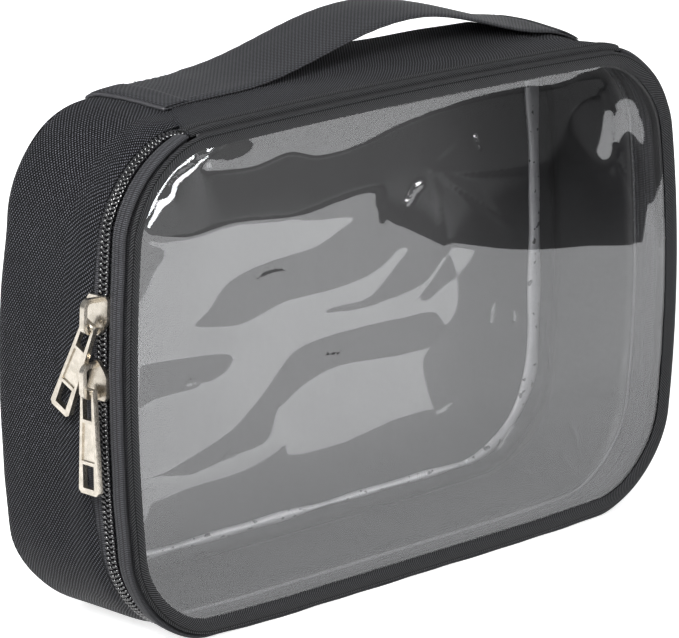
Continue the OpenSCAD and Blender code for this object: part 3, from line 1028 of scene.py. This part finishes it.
def make_stitches():
    """Short rounded bars of thread, in the box and row that sew the handle down."""
    verts, faces, uvs = [], [], []
    sides, steps = 6, 7

    def bar(x, y, along_x, length=2.6):
        z = (float((top_height(np.array([x])) + strap_lift(np.array([x])))[0]) + STRAP_T + 0.13
             + sewn_down(x, (y - STRAP_MID) / STRAP_HALF)[1] + swell(y, TOP_Z))
        base = len(verts)
        for t in np.linspace(-1, 1, steps):
            run, rad = t * length / 2, 0.22 * math.sqrt(max(0.05, 1 - t ** 4))
            for a in np.arange(sides) * math.tau / sides:
                off = rad * math.cos(a)
                up = z + 0.08 * (1 - t * t) + rad * 0.6 * math.sin(a)
                verts.append((x + run, y + off, up) if along_x else (x + off, y + run, up))
        for i in range(steps - 1):
            row = base + i * sides
            for k in range(sides):
                k1 = (k + 1) % sides
                faces.append((row + k, row + sides + k, row + sides + k1, row + k1))
                uvs.extend([(i, k), (i + 1, k), (i + 1, k + 1), (i, k + 1)])
        for i, order in ((0, range(sides - 1, -1, -1)), (steps - 1, range(sides))):
            faces.append(tuple(base + i * sides + k for k in order))
            uvs.extend([(i, k) for k in range(sides)])

    for x in (-66, -54, 87.5):
        for k in range(8):
            bar(x, STRAP_MID + 3.4 * (k - 3.5), False)
    for k in range(4):
        for y in (STRAP_Y0 + 2.6, STRAP_Y1 - 2.6):
            bar(-64.4 + 2.95 * k, y, True, 2.4)
    return new_object("handle_thread", verts, faces, THREAD, uvs)


put(make_stitches(), "case", "thread", "handle_stitching")

# ---- hinge tape

HINGE_TAPE = [
    (1.3, -25.9), (0.2, -26.1), (-0.5, -25.7), (-0.85, -24.6), (-0.95, -23.2), (-0.85, -21.8),
    (-0.55, -20.7), (-0.1, -20.3), (0.3, -20.5), (0.35, -22.5)]
put(sweep("hinge_tape_cloth", HINGE, stations(*over_top(90, 150), 1.0), smooth_path(HINGE_TAPE, 3)),
    "case", "herringbone", "hinge_tape")

# Strip of cloth in the fold
FOLD_LINE = [
    (0.7, -23.5), (0.6, -24.6), (0.75, -25.5), (1.2, -26.1), (2.0, -26.4), (2.8, -26.4),
    (2.8, -26.2), (2.0, -26.15), (1.5, -25.7), (1.1, -25.0), (1.1, -23.5)]
hinge_fold = sweep("hinge_fold_cloth", LINING, stations(*over_top(88, 150), 2.0),
                   smooth_path(FOLD_LINE, 3))
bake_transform(hinge_fold)

# ---- clear lid sheet


def signed_distance(x, z, poly):
    """Distance to a closed polygon, positive inside."""
    p = np.asarray(poly, float)
    best = np.full(x.shape, 1e9)
    for a, b in zip(p, np.roll(p, -1, 0)):
        d = b - a
        t = np.clip(((x - a[0]) * d[0] + (z - a[1]) * d[1]) / (d @ d), 0, 1)
        best = np.minimum(best, np.hypot(x - a[0] - t * d[0], z - a[1] - t * d[1]))
    inside = in_polygon(np.stack([x.ravel(), z.ravel()], 1), p).reshape(x.shape)
    return np.where(inside, best, -best)


# Patches of the sheet as (x, z): where it leans and mirrors another part of the table
LEANING = [
    [(-93, 96), (-86, 99), (-79, 106), (-67, 109), (-52, 110), (-41, 111), (-30, 115), (-16, 117),
     (0, 109), (12, 104), (4, 101), (-8, 104), (-15, 100), (-26, 97), (-42, 96), (-55, 96),
     (-64, 94), (-75, 92), (-87, 94)],
    [(-48, 90), (-36, 92), (-22, 92), (-13, 98), (-2, 105), (12, 104), (8, 97), (1, 91), (-11, 89),
     (-27, 88), (-38, 89)],
    [(-120, 88), (-104, 88), (-88, 87), (-78, 86), (-75, 82), (-80, 78), (-92, 76), (-106, 76),
     (-120, 73)],
    [(-91, 67), (-84, 69), (-75, 73), (-69, 80), (-70, 75), (-78, 68)],
    [(8, 82), (-8, 84), (-28, 84), (-46, 83), (-55, 80), (-62, 74), (-72, 67), (-82, 62), (-96, 58),
     (-106, 56), (-120, 57), (-120, 53), (-106, 52), (-94, 50), (-79, 52), (-64, 53), (-56, 57),
     (-57, 64), (-49, 69), (-36, 72), (-20, 71), (-7, 70), (8, 72)],
    [(-50, 120), (-36, 123), (-26, 124), (-15, 124), (-15, 117), (-24, 117), (-38, 118)],
    [(-120, 125), (-104, 120), (-107, 114), (-112, 106), (-120, 106)],
]
# Where it mirrors the dark corner
LOOKS_BACK = [
    (-118, 127), (-94, 122), (-74, 123), (-52, 121), (-36, 123), (-26, 124), (-16, 124),
    (-15, 118), (-9, 112), (1, 107), (10, 103), (20, 100), (40, 95), (66, 91), (97, 86), (110, 83),
    (106, 95), (104, 110), (99, 120), (94, 124), (91, 118), (87, 126), (83, 136), (80, 143),
    (62, 143), (36, 144), (10, 143), (-7, 141), (-22, 138), (-40, 137), (-52, 140), (-66, 138),
    (-80, 139), (-90, 142), (-103, 138), (-112, 132)]
# A dent at the upper right, the height below which the sheet hangs flatter, and the streak
# at the upper left that mirrors a small light
DENT = [
    (70, 135), (77, 137), (83, 135), (87, 128), (89, 119), (86, 115), (81, 116), (75, 121),
    (70, 128)]
FLAT_FROM = [
    (-130, 48), (-112, 48), (-80, 48), (-55, 49), (-32, 49), (-13, 52), (0, 52), (20, 50),
    (130, 44)]
GLINT = [
    (-109, 127), (-107.6, 134), (-105, 139.5), (-100, 143), (-93, 144), (-86, 145.4), (-86, 143),
    (-94, 141), (-99.5, 138.5), (-99.5, 133), (-103, 135), (-105, 131)]
# Narrow folds: height, width and the points of each
FOLDS = [(height, width, line) for height, width, lines in [
    (0.26, 0.8, [[(-5, 118), (-3, 120), (-1, 122), (2, 123)]]),
    (0.24, 0.8, [[(34, 32), (37, 34), (41, 38), (44, 40)]]),
    (0.22, 0.7, [[(20, 29), (21, 32), (23, 31)], [(94, 55), (92, 51), (90, 46)],
                 [(87, 43), (89, 40)]]),
    (0.24, 0.8, [[(91, 31), (87, 25), (83, 20), (77, 16), (71, 11)]]),
    (0.22, 0.7, [[(67, 36), (70, 31), (72, 27)], [(65, 25), (68, 21), (72, 18)],
                 [(46, 23), (50, 22), (54, 19)]]),
    (0.20, 0.6, [[(25, 134), (27, 130)], [(31, 75), (32, 80)], [(35, 72), (41, 73), (41, 77)],
                 [(7, 50), (12, 51), (14, 52)]]),
    (0.03, 0.9, [[(-69, 104), (-61, 106), (-52, 105)], [(-101, 79), (-93, 80), (-85, 79)],
                 [(-48, 78), (-37, 77), (-28, 76)]]),
    (0.13, 1.3, [[(78, 144), (83, 139), (86, 133), (89, 128), (90, 117), (94, 109), (96, 103)]]),
    (0.11, 1.2, [[(97, 103), (95, 94), (96, 84), (96, 73), (97, 59)]]),
    (0.05, 1.6, [[(6, 127), (20, 124), (38, 122), (54, 121)],
                 [(6, 127), (18, 119), (30, 110), (38, 103)], [(5, 128), (8, 118), (9, 108)],
                 [(6, 129), (16, 134), (24, 139)]]),
] for line in lines]


def blur(a, sigma, axis):
    r = int(3 * sigma)
    k = np.exp(-0.5 * (np.arange(-r, r + 1) / sigma) ** 2)
    k /= k.sum()
    pad = [(0, 0), (0, 0)]
    pad[axis] = (r, r)
    b = np.pad(a, pad, mode="edge")
    return np.apply_along_axis(lambda m: np.convolve(m, k, mode="valid"), axis, b)


def relax(want_x, want_z, stiff_x, stiff_z, pin, rounds=900):
    """Height whose slopes come nearest to the wanted ones, by conjugate gradients."""

    def along(a, axis):
        return np.diff(a, axis=axis, append=np.take(a, [-1], axis))

    def back(a, axis):
        return -np.diff(np.delete(a, -1, axis), axis=axis, prepend=0, append=0)

    def apply(h):
        return back(stiff_x * along(h, 1), 1) + back(stiff_z * along(h, 0), 0) + pin * h

    scale = pin + 2 * stiff_x + 2 * stiff_z
    h = np.zeros_like(want_x)
    r = back(stiff_x * want_x, 1) + back(stiff_z * want_z, 0)
    p = z = r / scale
    rz = (r * z).sum()
    for _ in range(rounds):
        q = apply(p)
        step = rz / (p * q).sum()
        h += step * p
        r = r - step * q
        z = r / scale
        rz, old = (r * z).sum(), rz
        p = z + rz / old * p
    return h


def fold_shape(x, z, line, width):
    """A narrow ridge along a line, 1 high in its middle and fading to its ends."""
    pts = smooth_path(line, 6)
    out = np.zeros(x.shape)
    n = len(pts)
    for i, (px, pz) in enumerate(pts):
        fade = math.sin(math.pi * (i + 0.5) / n) ** 0.5
        out = np.maximum(out, fade * np.exp(-((x - px) ** 2 + (z - pz) ** 2) / width ** 2))
    return out


def blend(a, b, share):
    return a * (1 - share) + b * share


class Waves:
    """Height of the clear sheet over its plane, on a 1 mm grid: broad leaning patches and folds."""

    def __init__(self):
        self.x = np.arange(-125.0, 126.0)
        self.z = np.arange(-5.0, 165.0)
        gx, gz = np.meshgrid(self.x, self.z)
        inside = in_polygon(np.stack([gx.ravel(), gz.ravel()], 1), BAG.p).reshape(gx.shape)
        rim = np.where(inside, edge_distance(gx, gz), 0)

        def cover(poly, soft=0.9):
            """1 inside the patch, 0 outside, with its corners and its edge smoothed."""
            closed = smooth_path([poly[-1], *poly, *poly[:2]], 4)[4:-5]
            return np.clip(signed_distance(gx, gz, closed) / (2 * soft) + 0.5, 0, 1)

        # Wanted slope up the sheet and across it, and how firmly each is kept
        low = np.clip((np.interp(gx, *np.array(FLAT_FROM, float).T) - gz) / 1.5 + 0.5, 0, 1)
        lean = blend(np.full(gx.shape, -0.022), -0.07, low)
        stiff = blend(np.full(gx.shape, 1.2), 0.8, low)
        lean = blend(lean, 0.012, np.clip((gz - 138) / 4, 0, 1))
        look = (101.4 / np.maximum(gz, 30) - 0.692) / (0.502 + 559 / np.maximum(gz, 30))
        for poly in LEANING:
            c = cover(poly)
            lean, stiff = blend(lean, look, c), np.maximum(stiff, 9 * c)
        c = cover(LOOKS_BACK)
        lean, stiff = blend(lean, 0.085, c), np.maximum(stiff, 7 * c)
        c = cover(DENT, 1.5)
        lean, side = blend(lean, 0.0, c), 0.07 * c
        c = cover(GLINT, 0.5)
        lean, side = blend(lean, 0.12, c), blend(side, -0.12, c)
        stiff, stiff_x = np.maximum(stiff, 25 * c), np.maximum(0.7, 25 * c)
        edge = np.clip((rim - 5.5) / 2.5, 0.25, 1)
        h = relax(-side, -lean, stiff_x * edge, stiff * edge, np.where(rim < 5.6, 40.0, 0.0004))
        self.h = blur(blur(h, 0.6, 0), 0.6, 1)

    def at(self, x, z):
        fx = np.clip(x - self.x[0], 0, len(self.x) - 1.001)
        fz = np.clip(z - self.z[0], 0, len(self.z) - 1.001)
        i, j = fx.astype(int), fz.astype(int)
        a, b = fx - i, fz - j
        h = self.h
        out = (h[j, i] * (1 - a) * (1 - b) + h[j, i + 1] * a * (1 - b)
               + h[j + 1, i] * (1 - a) * b + h[j + 1, i + 1] * a * b)
        for size, width, line in FOLDS:
            out = out + size * fold_shape(x, z, line, width)
        return out


def make_window():
    waves = Waves()

    def y_of(x, z):
        return WINDOW_Y - 0.25 - waves.at(x, z)

    fine = []
    for _, width, line in FOLDS:
        pts = smooth_path(line, 5)
        way = unit(np.gradient(pts, axis=0))
        for off in (-1.3, -0.65, 0.0, 0.65, 1.3):
            fine.append(pts + off * width * np.stack([-way[:, 1], way[:, 0]], 1))
    fine = np.vstack(fine)
    kept = []
    for point in fine:
        if all(abs(point - other).max() > 0.3 for other in kept):
            kept.append(point)
    return plate_mesh("window_vinyl", VINYL, BAG, 2.2, y_of, 0.4, 0.9, np.array(kept))


window = put(make_window(), "lid", "clear_sheet", "window_sheet")

# ---- metal, from the CAD

for node in ("upper_slider_body", "upper_slider_bridge", "upper_pull", "lower_slider_body",
             "lower_slider_bridge", "lower_pull"):
    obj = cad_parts[node]
    obj.data.materials.clear()
    obj.data.materials.append(METAL)
    bevel = obj.modifiers.new("rounded", "BEVEL")
    bevel.width = 0.28 * MM
    bevel.segments = 3
    bevel.limit_method = "ANGLE"
    bevel.angle_limit = math.radians(35)
